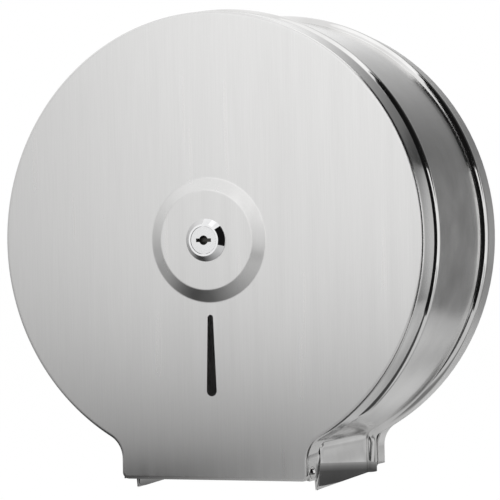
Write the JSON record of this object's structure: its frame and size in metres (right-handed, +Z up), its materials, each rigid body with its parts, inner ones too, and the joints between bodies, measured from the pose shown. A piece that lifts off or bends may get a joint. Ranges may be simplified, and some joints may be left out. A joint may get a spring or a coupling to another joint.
{
  "type": "jumbo toilet roll dispenser",
  "caption": "Round wall-mounted dispenser for one large toilet roll, with a locked cover that swings down, a viewing slot and a turning sleeve.",
  "frame": {"origin": "on the axis of the round case, in the plane of the wall, which is the middle of the four wall screws", "axes": "+Z up, +Y into the wall and -Y towards the user, +X to the right as the user sees it"},
  "size_m": [0.2784, 0.1358, 0.2899],
  "materials": {
    "cover_steel": "upright satin brushing",
    "drum_steel": "bright rolled sheet",
    "pan_steel": "satin",
    "rivet_steel": "polished",
    "lock_chrome": "mirror plated",
    "zinc_steel": "zinc plated",
    "spring_steel": "blackened spring steel",
    "nylon": "natural nylon",
    "sleeve_plastic": "moulded grey"
  },
  "bodies": {
    "case": {"back_plate": "pan_steel", "drum_wall": "drum_steel", "hinge_rivet_left": "rivet_steel", "hinge_rivet_right": "rivet_steel", "hinge_spacer_left": "nylon", "hinge_spacer_right": "nylon", "spindle_flange": "zinc_steel", "spindle_post": "zinc_steel", "spindle_rivets": "rivet_steel", "strike_plate": "zinc_steel", "sleeve_washer": "nylon", "retaining_ring": "spring_steel"},
    "cover": {"front_cover": "cover_steel", "lock_housing": "lock_chrome", "lock_washer": "zinc_steel", "lock_nut": "zinc_steel"},
    "lock_core": {"lock_plug": "lock_chrome", "lock_stop_disc": "zinc_steel", "lock_cam": "zinc_steel", "cam_washer": "zinc_steel", "cam_screw": "zinc_steel"},
    "sleeve": {"roll_sleeve": "sleeve_plastic"}
  },
  "joints": [
    {"name": "cover_hinge", "type": "hinge", "parent": "case", "child": "cover", "pos_m": [0, -0.12, -0.13934], "axis": [1, 0, 0], "range_deg": [0, 120]},
    {"name": "lock_turn", "type": "hinge", "parent": "cover", "child": "lock_core", "pos_m": [0, -0.12, 0], "axis": [0, 1, 0], "range_deg": [0, 90]},
    {"name": "sleeve_spin", "type": "hinge", "parent": "case", "child": "sleeve", "pos_m": [0, -0.06, 0], "axis": [0, 1, 0], "continuous": true}
  ]
}
